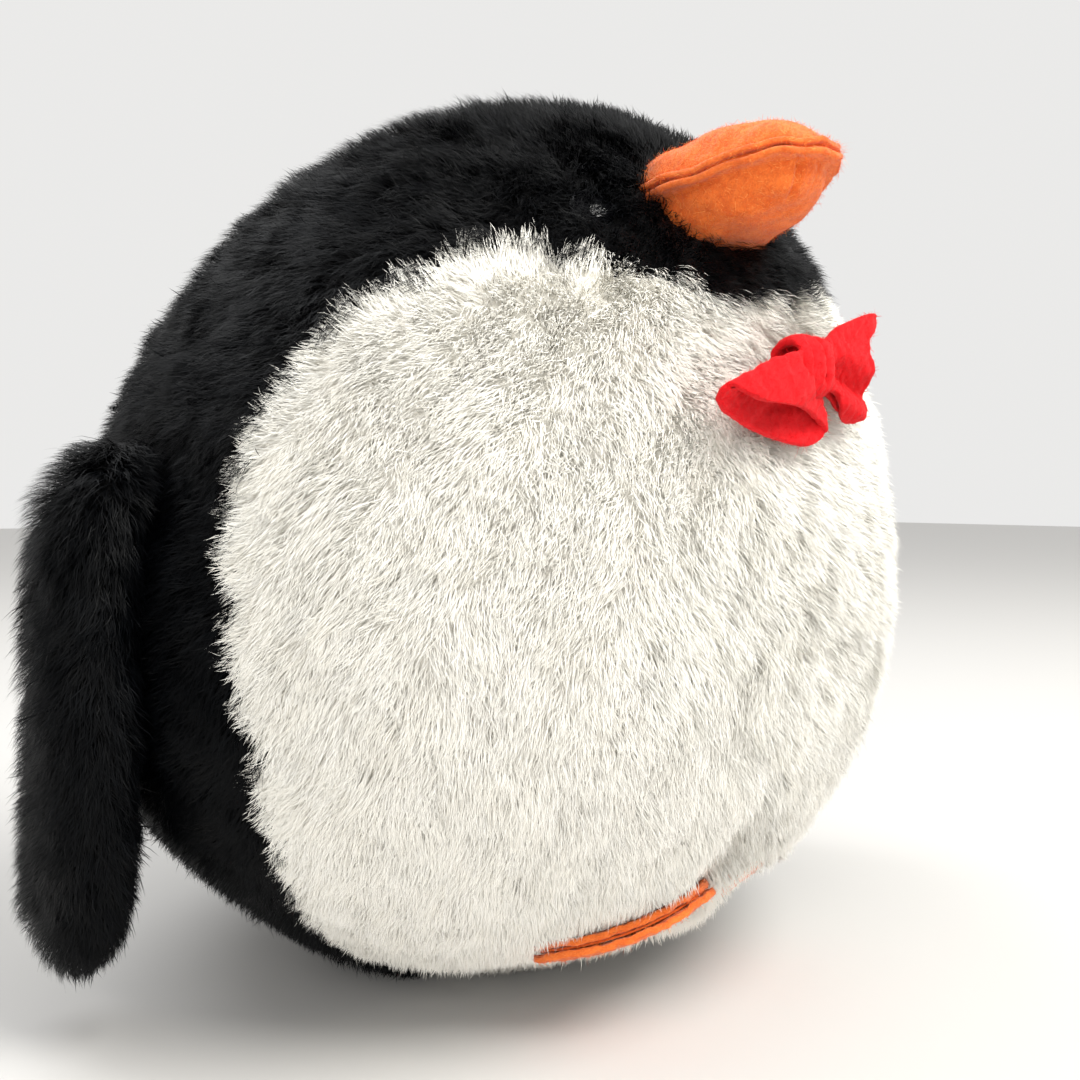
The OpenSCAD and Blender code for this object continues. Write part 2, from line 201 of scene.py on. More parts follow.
def waves(p, seed, size, count=7):
    """Smooth noise, about -1 to 1, with features of that size in millimetres."""
    rng = np.random.default_rng(seed)
    k = rng.normal(size=(count, 3))
    k /= np.linalg.norm(k, axis=1, keepdims=True)
    k *= (2 * np.pi / size) * rng.uniform(0.6, 1.5, (count, 1))
    ph = rng.uniform(0, 2 * np.pi, count)
    return np.sin(p @ k.T + ph).sum(1) / math.sqrt(count) / 0.9

def unit(v):
    return v / np.maximum(np.linalg.norm(v, axis=-1, keepdims=True), 1e-9)

def tangential(v, n):
    return v - (v * n).sum(-1, keepdims=True) * n

def dents(p):
    """How far seams and stitches draw the plush in, in millimetres."""
    x, y, z = p[:, 0], p[:, 1], p[:, 2]
    front = y < -20
    seam = 0.9 * np.exp(-(x / 3.0) ** 2) * front * (z < 128)
    dimple = 4.2 * np.exp(-((x / 6.5) ** 2 + ((z - 35) / 8.5) ** 2)) * front
    throat = 3.0 * np.exp(-((x / 12.0) ** 2 + ((z - 119.5) / 7.0) ** 2)) * front
    # the underside is pressed up behind the feet
    under = 4.6 * np.exp(-((z - 8.5) / 8.0) ** 2) * (y < -12) * np.exp(-((x + 4) / 36.0) ** 4)
    return seam + dimple + throat + under

# ---------------------------------------------------------------- mesh helpers
def link(o):
    scene.collection.objects.link(o)
    return o

def mesh_from(name, verts, faces_flat, sizes, mats, mat_index=None, normals=None, smooth=True):
    """verts in millimetres; faces as one flat list of corners and the size of each face."""
    me = bpy.data.meshes.new(name)
    verts = np.asarray(verts, np.float32) * MM
    me.vertices.add(len(verts))
    me.vertices.foreach_set("co", verts.ravel())
    me.loops.add(len(faces_flat))
    me.loops.foreach_set("vertex_index", np.asarray(faces_flat, np.int32))
    me.polygons.add(len(sizes))
    start = np.concatenate([[0], np.cumsum(sizes)[:-1]]).astype(np.int32)
    me.polygons.foreach_set("loop_start", start)
    for m in mats:
        me.materials.append(m)
    if mat_index is not None:
        me.polygons.foreach_set("material_index", np.asarray(mat_index, np.int32))
    me.polygons.foreach_set("use_smooth", np.full(len(sizes), smooth, bool))
    me.update(calc_edges=True)
    me.validate()
    if normals is not None:
        me.normals_split_custom_set_from_vertices(np.asarray(normals, np.float32))
    return link(bpy.data.objects.new(name, me))

MAX_STRANDS = 39000

def strands(name, pts, width, face_n, mats, tint, body, blend=0.45, made=[]):
    """pts (strands, 4, 3) from root to tip, as flat tapered fibres facing along face_n (strands, 3).
    tint is each fibre's colour, 1 to 3; its root takes colour 0, a darker painted shade. Split so that no piece is too
    heavy."""
    out = []
    total = len(pts)
    parts = max(1, math.ceil(total / MAX_STRANDS))
    for k in range(parts):
        sel = slice(k * total // parts, (k + 1) * total // parts)
        p, w, fn, tn = pts[sel], width[sel], face_n[sel], tint[sel]
        n = len(p)
        tang = np.empty_like(p)
        tang[:, 0] = p[:, 1] - p[:, 0]
        tang[:, 1] = p[:, 2] - p[:, 0]
        tang[:, 2] = p[:, 3] - p[:, 1]
        tang[:, 3] = p[:, 3] - p[:, 2]
        tang = unit(tang)
        side = unit(np.cross(tang, fn[:, None, :]))
        geo = np.cross(side, tang)
        taper = np.array([1.0, 1.0, 0.72])
        verts = np.empty((n, 7, 3), np.float32)
        nor = np.empty((n, 7, 3), np.float32)
        for i in range(3):
            off = side[:, i] * (0.5 * w * taper[i])[:, None]
            verts[:, 2 * i] = p[:, i] - off
            verts[:, 2 * i + 1] = p[:, i] + off
            nn = unit(fn * (1 - blend) + geo[:, i] * blend)
            # the two edges lean apart a little, so that a flat fibre shades as a round one
            nor[:, 2 * i] = unit(nn - 0.35 * side[:, i])
            nor[:, 2 * i + 1] = unit(nn + 0.35 * side[:, i])
        verts[:, 6] = p[:, 3]
        nor[:, 6] = unit(fn * (1 - blend) + geo[:, 3] * blend)
        base = (np.arange(n, dtype=np.int64) * 7)[:, None]
        quad = np.array([0, 1, 3, 2, 2, 3, 5, 4, 4, 5, 6])
        flat = (base + quad).ravel()
        sizes = np.tile([4, 4, 3], n)
        mi = np.empty((n, 3), np.int32)
        # the root segment takes colour 0: painted shade at the foot of each fibre
        mi[:, 0] = 0
        mi[:, 1] = tn
        mi[:, 2] = tn
        o = mesh_from(f"{name}_{k + 1}", verts.reshape(-1, 3), flat, sizes, mats, mi.ravel(), nor.reshape(-1, 3))
        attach(o, body)
        out.append(o)
    return out

def pile(centre, normal, nap, height, reach, per, radius, gather, seed, jitter=1.0, floor=None, wide=0.16, loose=0.07, stray=0.8):
    """Tufts of fibres. centre (tufts, 3) is the root, nap the way each tuft lies, height how far its end
    stands off the root, reach how far it runs along the nap. per fibres grow in each tuft within radius
    and gather towards its end. Returns points (n, 4, 3), widths, facing normals and the tuft of each."""
    rng = np.random.default_rng(seed)
    m = len(centre)
    side = np.cross(normal, nap)
    n = m * per
    who = np.repeat(np.arange(m), per)
    ang = rng.uniform(0, 2 * np.pi, n)
    rad = np.sqrt(rng.uniform(0, 1, n)) * np.repeat(radius, per)
    ox, oy = rad * np.cos(ang), rad * np.sin(ang)
    C, N, D, S = centre[who], normal[who], nap[who], side[who]
    H = height[who] * rng.uniform(0.84, 1.1, n)
    R = reach[who] * rng.uniform(0.82, 1.12, n)
    g = np.clip(gather * rng.uniform(0.65, 1.25, n), 0, 0.95)
    fly = rng.uniform(0, 1, n) < loose
    g = np.where(fly, 0.1, g)
    H = np.where(fly, H * 1.12, H)
    turn = rng.normal(0, 0.10, n) * jitter + np.where(fly, rng.normal(0, 0.35, n), 0)
    curl = rng.normal(0, 0.35, n) * jitter
    sx, sy = rng.normal(0, stray, n), rng.normal(0, stray, n)
    pts = np.empty((n, 4, 3), np.float32)
    for i, t in enumerate((0.0, 0.34, 0.68, 1.0)):
        hold = 1 - g * t ** 1.25
        own = t ** 1.3
        h = H * (1 - (1 - t) ** 1.55)
        x = R * t ** 1.2
        dx = ox * hold + x * np.cos(turn)
        dy = oy * hold + x * np.sin(turn) + curl * math.sin(math.pi * t)
        dx, dy = dx + sx * own, dy + sy * own
        pts[:, i] = C + N * h[:, None] + D * dx[:, None] + S * dy[:, None]
    if floor is not None:
        z = pts[:, :, 2]
        lift = rng.uniform(0.05, 0.5, n)[:, None]
        pts[:, :, 2] = np.where(z < floor + lift, floor + lift + 0.12 * np.maximum(0, np.minimum(4, z - floor)), z)
    width = wide * rng.uniform(0.7, 1.25, n)
    return pts, width, N, who

def spread_on_body(count):
    """Evenly spread (u, t) over the body's surface."""
    t = np.linspace(0.0, np.pi, 2000)
    a, _ = ring(t)
    w = a * np.sin(t)
    z = -BODY_HZ * np.cos(t)
    r = a * np.sin(t)
    ds = np.hypot(np.gradient(r), np.gradient(z))
    area = np.cumsum(w * ds)
    area /= area[-1]
    i = np.arange(count)
    g = 1.32471795724474602596
    a1, a2 = (0.5 + i / g) % 1, (0.5 + i / g ** 2) % 1
    return 2 * np.pi * a1, np.interp(a2, area, t)

# ---------------------------------------------------------------- the body's cloth
def base_coat():
    nu, nt = 420, 220
    t = np.linspace(0.0, np.pi, nt + 1)[1:-1]
    u = np.linspace(0, 2 * np.pi, nu, endpoint=False)
    # the columns are turned so that two of them lie on the middle plane
    U, T = np.meshgrid(u + np.pi / 2, t)
    U, T = U.ravel(), T.ravel()
    p, n = frame_at(U, T, 3.0)
    p = p + n * (0.28 * waves(p, 5, 3.2) + 0.22 * waves(p, 6, 1.7) - dents(p))[:, None]
    p = clear_of_feet(p, 0.55, 1.2)
    bottom = skin(np.array([0.0]), np.array([0.0]), 3.0)
    top = skin(np.array([0.0]), np.array([np.pi]), 3.0)
    verts = np.vstack([p, bottom, top])
    idx = np.arange(len(U)).reshape(len(t), nu)
    faces, where = [], []
    a = idx[:-1]; b = idx[1:]
    quads = np.stack([a, np.roll(a, -1, 1), np.roll(b, -1, 1), b], -1).reshape(-1, 4)
    fan0 = np.stack([np.roll(idx[0], -1), idx[0], np.full(nu, len(U))], -1)
    fan1 = np.stack([idx[-1], np.roll(idx[-1], -1), np.full(nu, len(U) + 1)], -1)
    verts[:, 2] = np.maximum(verts[:, 2], 0.35)
    # faces that lie wholly on the flat underside are kept, as the flat base
    mid_q = verts[quads].mean(1)
    belly_q = in_polygon(mid_q[:, 1] + 0.5 * waves(mid_q, 9, 9), mid_q[:, 2] + 0.5 * waves(mid_q, 10, 9), BELLY_EDGE)
    mid0, mid1 = verts[fan0].mean(1), verts[fan1].mean(1)
    belly0 = in_polygon(mid0[:, 1], mid0[:, 2], BELLY_EDGE)
    belly1 = np.zeros(len(mid1), bool)
    for name, belly, left in (("belly_left", 1, 1), ("belly_right", 1, 0), ("back_left", 0, 1), ("back_right", 0, 0)):
        q = quads[(belly_q == belly) & ((mid_q[:, 0] > 0) == left)]
        f0 = fan0[(belly0 == belly) & ((mid0[:, 0] > 0) == left)]
        f1 = fan1[(belly1 == belly) & ((mid1[:, 0] > 0) == left)]
        flat = np.concatenate([q.ravel(), f0.ravel(), f1.ravel()])
        sizes = np.concatenate([np.full(len(q), 4), np.full(len(f0), 3), np.full(len(f1), 3)])
        used, inv = np.unique(flat, return_inverse=True)
        o = mesh_from(f"{name}_cloth", verts[used], inv, sizes, [WHITE_BASE if belly else BLACK_BASE])
        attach(o, "body")
        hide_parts(name)

def body_pile():
    u, t = spread_on_body(13000)
    p, n = frame_at(u, t, 4.2)
    keep = p[:, 2] > 1.2
    u, t, p, n = u[keep], t[keep], p[keep], n[keep]
    wob = 0.7 * waves(p, 21, 10)
    belly = in_polygon(p[:, 1] + wob, p[:, 2] + 0.7 * waves(p, 22, 10), BELLY_EDGE)
    p = p - n * dents(p)[:, None]
    # no pile grows where the beak and the eyes are sewn on
    free = ~((p[:, 1] < -20) & ((p[:, 0] / 11.6) ** 2 + ((p[:, 2] - 150.9) / 8.8) ** 2 < 1))
    for side in ("left", "right"):
        c, _ = eye_frame(side)
        free &= np.linalg.norm(p - c, axis=1) > 2.6
    u, t, p, n, belly = u[free], t[free], p[free], n[free], belly[free]
    rng = np.random.default_rng(3)
    heart = np.array([0.0, -86.0, 112.0])
    beak = np.array([0.0, -66.0, 152.0])
    down = np.array([0.0, 0.0, -1.0])
    for tone, mask in (("white", belly), ("black", ~belly)):
        P, N = p[mask], n[mask]
        if tone == "white":
            chin = (np.exp(-(P[:, 0] / 26.0) ** 4) * np.clip((P[:, 2] - 108) / 8.0, 0, 1) * (P[:, 1] < -30))[:, None]
            low = np.clip((165 - P[:, 2]) / 60.0, 0.45, 1)[:, None]
            v = unit(P - heart) * 0.3 * (1 - chin) + (0.95 * low + chin) * down
            # at the seam the fibres lean out over the black
            dist, out = to_edge(P)
            near = np.exp(-dist / 5.0)[:, None] * (1 - chin)
            v = v * (1 - near) + out * near * 0.8
            edge_short = 1 - 0.30 * near[:, 0]
            v = v * (0.45 + 0.55 * np.clip(1.6 * np.linalg.norm(v, axis=1), 0, 1))[:, None]
            lean = np.clip(0.42 + 0.75 * np.linalg.norm(tangential(v, N), axis=1), 0.45, 1)
        else:
            v = unit(P - beak) * 0.9 + 0.6 * down
        D = unit(tangential(v, N))
        S = np.cross(N, D)
        k = 0.6 if tone == "white" else 1.0
        swirl = k * (0.30 * waves(P, 31, 34) + 0.28 * waves(P, 32, 13)) + rng.normal(0, 0.22, len(P))
        D = unit(D * np.cos(swirl)[:, None] + S * np.sin(swirl)[:, None])
        if tone == "white":
            height = (4.8 + 0.30 * waves(P, 41, 11) + rng.normal(0, 0.25, len(P))) * edge_short
            reach = (3.6 + 0.6 * waves(P, 42, 13) + rng.normal(0, 0.4, len(P))) * lean * (1 - 0.35 * near[:, 0])
            radius = np.full(len(P), 2.8)
            gather, mats, slot, seed, wide, blend, stray = 0.30, WHITE_FIBRES, "white_plush", 51, 0.15, 0.10, 0.42
        else:
            height = 4.7 + 0.55 * waves(P, 43, 11) + rng.normal(0, 0.3, len(P))
            reach = 4.3 + 0.8 * waves(P, 44, 13) + rng.normal(0, 0.5, len(P))
            radius = np.full(len(P), 2.5)
            gather, mats, slot, seed, wide, blend, stray = 0.58, BLACK_FIBRES, "black_plush", 52, 0.165, 0.6, 0.95
        per = max(6, int((52 if tone == "white" else 34) * DENSITY))
        w = wide / math.sqrt(DENSITY)
        pts, width, face_n, who = pile(P, N, D, height, reach, per, radius, gather, seed, jitter=0.7 if tone == "white" else 1.0, floor=0.1, wide=w, stray=stray)
        r2 = np.random.default_rng(seed + 7)
        shape = pts.shape
        if tone == "white":
            pts = clear_of_feet(pts.reshape(-1, 3), 0.12, 0.25).reshape(shape)
        tone_of = r2.choice([1, 2, 3], size=len(P), p=[0.45, 0.3, 0.25])[who]
        own = r2.uniform(0, 1, len(who)) < 0.45
        tint = np.where(own, r2.choice([1, 2, 3], size=len(who), p=[0.45, 0.3, 0.25]), tone_of)
        order = np.argsort(who, kind="stable")
        # both halves of the toy keep their own pile, so the right and left panels come apart
        for side_name, s in (("left", pts[:, 0, 0] >= 0), ("right", pts[:, 0, 0] < 0)):
            strands(f"{tone}_pile_{side_name}", pts[s], width[s], face_n[s], mats, tint[s], "body", blend)

# ---------------------------------------------------------------- wings
def sup(x, n):
    return np.power(np.maximum(0, 1 - np.power(np.abs(x), n)), 1 / n)

WING_TOP, WING_TIP, WING_W, WING_T = 108.0, 16.5, 11.5, 6.4

def wing_round(s):
    return np.where(s < 0.12, 0.45 + 0.55 * np.sin(np.pi / 2 * np.minimum(s, 0.12) / 0.12),
                    np.where(s > 0.86, sup((s - 0.86) / 0.1403, 2.5), 1.0))

def wing_point(s, a, d=0.0):
    """A point of the left wing: s runs from shoulder to tip, a round it. d inside its cloth."""
    x = 84.4 + 6.4 * np.sin(np.pi / 2 * np.minimum(1, s / 0.2)) - 1.6 * np.maximum(0, (s - 0.45) / 0.55)
    y = -5.5 + 14.5 * s * s
    w = np.maximum(0.4, WING_W * (0.88 + 0.16 * np.sin(np.radians(150) * np.minimum(1, s)) + 0.16 * np.clip((s - 0.35) / 0.45, 0, 1)) * wing_round(s) - d)
    h = np.maximum(0.3, WING_T * (1 - 0.22 * s) * wing_round(s) - d)
    c, q = np.cos(a), np.sin(a)
    top, low = WING_TOP - d, WING_TIP + d
    return np.stack([x + h * np.sign(q) * np.abs(q) ** 0.85, y + w * np.sign(c) * np.abs(c) ** 0.85,
                     top + (low - top) * s], -1)

def wing(side):
    sgn = 1 if side == "left" else -1
    body = f"wing_{side}"
    flip = np.array([sgn, 1, 1])
    # cloth, in two panels that meet at the seam round the edge
    ns, na = 90, 96
    S, A = np.meshgrid(np.linspace(0.004, 0.996, ns), 2 * np.pi * np.arange(na) / na, indexing="ij")
    p = wing_point(S.ravel(), A.ravel())
    mid = np.repeat(p.reshape(ns, na, 3).mean(1), na, 0)
    n = unit(p - mid)
    seam = np.exp(-(np.sin(A.ravel()) / 0.22) ** 2)
    p = p + n * (0.25 * waves(p, 61, 4) + 0.2 * waves(p, 62, 2) + 0.5 * waves(p, 63, 22) - 0.8 * seam - 0.2)[:, None]
    verts = np.vstack([p, p.reshape(ns, na, 3)[0].mean(0), p.reshape(ns, na, 3)[-1].mean(0)]) * flip
    idx = np.arange(ns * na).reshape(ns, na)
    a, b = idx[:-1], idx[1:]
    quads = np.stack([a, b, np.roll(b, -1, 1), np.roll(a, -1, 1)], -1)
    q_outer = (np.sin((A[:-1] + np.pi / na)) > 0)
    top = np.stack([idx[0], np.roll(idx[0], -1), np.full(na, ns * na)], -1)
    tip = np.stack([np.roll(idx[-1], -1), idx[-1], np.full(na, ns * na + 1)], -1)
    cap_outer = q_outer[0]
    for part, outer in (("outer", True), ("inner", False)):
        q = quads[q_outer == outer].reshape(-1, 4)
        f = np.vstack([top[cap_outer == outer], tip[cap_outer == outer]])
        if sgn < 0:
            q, f = q[:, ::-1], f[:, ::-1]
        flat = np.concatenate([q.ravel(), f.ravel()])
        sizes = np.concatenate([np.full(len(q), 4), np.full(len(f), 3)])
        used, inv = np.unique(flat, return_inverse=True)
        o = mesh_from(f"{body}_{part}_cloth", verts[used], inv, sizes, [BLACK_BASE])
        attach(o, body)
        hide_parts(f"wing_{side}_{part}")
    # pile
    m = 1250
    i = np.arange(m)
    g = 1.32471795724474602596
    s = 0.005 + 0.985 * ((0.5 + i / g) % 1)
    ang = 2 * np.pi * ((0.5 + i / g ** 2) % 1)
    e = 1e-3
    p = wing_point(s, ang, 1.0)
    da = wing_point(s, ang + e, 1.0) - wing_point(s, ang - e, 1.0)
    ds = wing_point(np.minimum(s + e, 0.999), ang, 1.0) - wing_point(np.maximum(s - e, 0.001), ang, 1.0)
    n = unit(np.cross(ds, da))
    axis = np.stack([84.4 + 6.4 * np.sin(np.pi / 2 * np.minimum(1, s / 0.2)), -5.5 + 14.5 * s * s, p[:, 2]], -1)
    n = np.where(((p - axis) * n).sum(1, keepdims=True) < 0, -n, n)
    p, n = p * flip, n * flip
    rng = np.random.default_rng(71 if sgn > 0 else 72)
    D = unit(tangential(np.array([0.0, 0.12, -1.0]) + 0.15 * n, n))
    Sd = np.cross(n, D)
    swirl = 0.25 * waves(p, 73, 26) + 0.2 * waves(p, 74, 12) + rng.normal(0, 0.12, m)
    D = unit(D * np.cos(swirl)[:, None] + Sd * np.sin(swirl)[:, None])
    height = 5.0 + 0.55 * waves(p, 75, 11) + rng.normal(0, 0.3, m)
    # the side that lies against the body is pressed flatter
    inward = np.clip(-n[:, 0] * sgn, 0, 1)
    height = height * (1 - 0.35 * inward)
    reach = 5.6 + rng.normal(0, 0.5, m)
    per = max(6, int(34 * DENSITY))
    pts, width, face_n, who = pile(p, n, D, height, reach, per, np.full(m, 2.5), 0.74, 81 + sgn, floor=0.1, wide=0.17 / math.sqrt(DENSITY))
    r2 = np.random.default_rng(91)
    tint = np.where(r2.uniform(0, 1, len(who)) < 0.5, r2.choice([1, 2, 3], len(who)), r2.choice([1, 2, 3], m)[who])
    strands(f"{body}_pile", pts, width, face_n, BLACK_FIBRES, tint, body, 0.6)


# ---------------------------------------------------------------- felt
# the dark tone of orange_felt is the felt's shaded colour: the noise scatters it as painted shade among the felt's own
# mottling
ORANGE_FELT = cloth("orange_felt", (0.94, 0.225, 0.036), (0.66, 0.095, 0.011), 330, bump=0.9, bump_scale=1500, sheen=0.25, distance=0.0003)
# the dark tone of red_felt is likewise the felt's shaded colour, scattered as painted shade among the felt's own
# mottling
RED_FELT = cloth("red_felt", (0.72, 0.006, 0.011), (0.54, 0.003, 0.006), 420, bump=0.55, bump_scale=1500, sheen=0.04, distance=0.0003)
# each fuzz's root colour is darker than its ends: painted shade at the foot of the fibres
ORANGE_FUZZ = [plain("orange_fuzz_root_painted_shade", (0.70, 0.11, 0.014), 0.8, 0.15), plain("orange_fuzz_a", (0.93, 0.21, 0.034), 0.7, 0.2),
               plain("orange_fuzz_b", (0.84, 0.13, 0.016), 0.7, 0.2), plain("orange_fuzz_c", (0.97, 0.38, 0.11), 0.7, 0.2)]
RED_FUZZ = [plain("red_fuzz_root_painted_shade", (0.50, 0.003, 0.006), 0.85, 0.05), plain("red_fuzz_a", (0.72, 0.006, 0.010), 0.8, 0.06),
            plain("red_fuzz_b", (0.62, 0.004, 0.008), 0.8, 0.06), plain("red_fuzz_c", (0.78, 0.010, 0.014), 0.8, 0.06)]
FILL = cloth("fibre_fill", (0.93, 0.93, 0.91), (0.78, 0.78, 0.77), 120, bump=1.0, bump_scale=380, sheen=0.4, distance=0.0012)
WHITE_THREAD = cloth("white_thread", (0.88, 0.87, 0.83), (0.7, 0.68, 0.62), 900, bump=0.5, bump_scale=2600, distance=0.0001, stretch=(1, 1, 0.3))
ORANGE_THREAD = cloth("orange_thread", (0.78, 0.13, 0.016), (0.5, 0.07, 0.008), 900, bump=0.5, bump_scale=2600, distance=0.0001)
RED_THREAD = cloth("red_thread", (0.6, 0.010, 0.012), (0.4, 0.005, 0.007), 900, bump=0.5, bump_scale=2600, distance=0.0001)

def weld(o):
    """Joins doubled points, turns every face outwards and shades it smooth."""
    import bmesh
    b = bmesh.new()
    b.from_mesh(o.data)
    bmesh.ops.remove_doubles(b, verts=b.verts, dist=2e-6)
    bmesh.ops.dissolve_degenerate(b, edges=b.edges, dist=1e-6)
    bmesh.ops.recalc_face_normals(b, faces=b.faces)
    for f in b.faces:
        f.smooth = True
    b.to_mesh(o.data)
    b.free()
    o.data.update()
    return o

def grid_faces(n, m, wrap):
    """Quads over n rows of m points; wrap joins the last column to the first."""
    idx = np.arange(n * m).reshape(n, m)
    nxt = np.roll(idx, -1, 1)
    a, b, c, d = idx[:-1], nxt[:-1], nxt[1:], idx[1:]
    if not wrap:
        a, b, c, d = a[:, :-1], b[:, :-1], c[:, :-1], d[:, :-1]
    return np.stack([a, b, c, d], -1).reshape(-1, 4)

def solid_from_rows(name, rows, wrap, mat, body, replaces=()):
    """rows (n, m, 3): a closed skin swept through rows of points."""
    n, m, _ = rows.shape
    q = grid_faces(n, m, wrap)
    o = mesh_from(name, rows.reshape(-1, 3), q.ravel(), np.full(len(q), 4), [mat])
    weld(o)
    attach(o, body)
    if replaces:
        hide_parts(*replaces)
    return o

def closed_curve(points, n):
    """A smooth closed curve through points, n samples evenly spaced along it."""
    p = np.asarray(points, float)
    k = len(p)
    t = np.linspace(0, k, 40 * k, endpoint=False)
    i = t.astype(int) % k
    f = (t - t.astype(int))[:, None]
    p0, p1, p2, p3 = p[(i - 1) % k], p[i], p[(i + 1) % k], p[(i + 2) % k]
    c = 0.5 * (2 * p1 + (p2 - p0) * f + (2 * p0 - 5 * p1 + 4 * p2 - p3) * f ** 2 + (3 * p1 - p0 - 3 * p2 + p3) * f ** 3)
    if n is None:
        return c
    seg = np.linalg.norm(np.diff(np.vstack([c, c[:1]]), axis=0), axis=1)
    s = np.concatenate([[0], np.cumsum(seg)])
    want = np.linspace(0, s[-1], n, endpoint=False)
    cc = np.vstack([c, c[:1]])
    return np.stack([np.interp(want, s, cc[:, j]) for j in range(p.shape[1])], -1)

def fuzz(name, objs, per_mm2, length, width, mats, body, seed, lie=0.75, keep=None):
    """Short loose fibres all over felt pieces."""
    rng = np.random.default_rng(seed)
    P, N = [], []
    for o in objs:
        me = o.data
        me.calc_loop_triangles()
        tri = np.empty(len(me.loop_triangles) * 3, np.int32)
        me.loop_triangles.foreach_get("vertices", tri)
        tri = tri.reshape(-1, 3)
        co = np.empty(len(me.vertices) * 3, np.float32)
        me.vertices.foreach_get("co", co)
        co = co.reshape(-1, 3).astype(float) / MM
        a, b, c = co[tri[:, 0]], co[tri[:, 1]], co[tri[:, 2]]
        cr = np.cross(b - a, c - a)
        ar = 0.5 * np.linalg.norm(cr, axis=1)
        ok = ar > 1e-7
        a, b, c, cr, ar = a[ok], b[ok], c[ok], cr[ok], ar[ok]
        cnt = int(ar.sum() * per_mm2 * (1))
        f = rng.choice(len(ar), cnt, p=ar / ar.sum())
        r1, r2 = np.sqrt(rng.uniform(0, 1, cnt)), rng.uniform(0, 1, cnt)
        P.append(a[f] * (1 - r1)[:, None] + b[f] * (r1 * (1 - r2))[:, None] + c[f] * (r1 * r2)[:, None])
        N.append(unit(cr[f]))
    P, N = np.vstack(P), np.vstack(N)
    if keep is not None:
        k = keep(P)
        P, N = P[k], N[k]
    n = len(P)
    T = unit(tangential(rng.normal(size=(n, 3)), N))
    T2 = np.cross(N, T)
    L = length * rng.gamma(4.0, 0.25, n)
    up = np.clip(rng.normal(1 - lie, 0.16, n), 0.04, 1.0)
    bend = rng.normal(0, 0.35, n)
    pts = np.empty((n, 4, 3), np.float32)
    for i, t in enumerate((0.0, 0.34, 0.68, 1.0)):
        h = up * t * L
        along = L * t * np.sqrt(np.maximum(0, 1 - up ** 2))
        pts[:, i] = P - 0.05 * N + N * h[:, None] + T * along[:, None] + T2 * (bend * L * t * t)[:, None]
    w = width * rng.uniform(0.7, 1.3, n)
    return strands(name, pts, w, N, mats, rng.choice([1, 2, 3], n, p=[0.45, 0.33, 0.22]), body, 0.5)

# ---------------------------------------------------------------- beak
BEAK_W, BEAK_L, BEAK_UP, BEAK_DOWN, MOUTH_Z, BEAK_Y = 12.6, 25.7, 10.0, 9.5, 152.4, -61.9
BEAK_TILT = math.radians(9.0)

def beak_turn(p):
    """Turns the level beak upward about the middle of its mouth line."""
    p = np.array(p, float)
    y, z = p[..., 1] + 72.0, p[..., 2] - MOUTH_Z
    c, q = math.cos(-BEAK_TILT), math.sin(-BEAK_TILT)
    p[..., 1] = -72.0 + y * c - z * q
    p[..., 2] = MOUTH_Z + y * q + z * c
    return p

def beak_level(p):
    """The same point of the beak before it was turned upward."""
    p = np.array(p, float)
    y, z = p[..., 1] + 72.0, p[..., 2] - MOUTH_Z
    c, q = math.cos(BEAK_TILT), math.sin(BEAK_TILT)
    p[..., 1] = -72.0 + y * c - z * q
    p[..., 2] = MOUTH_Z + y * q + z * c
    return p

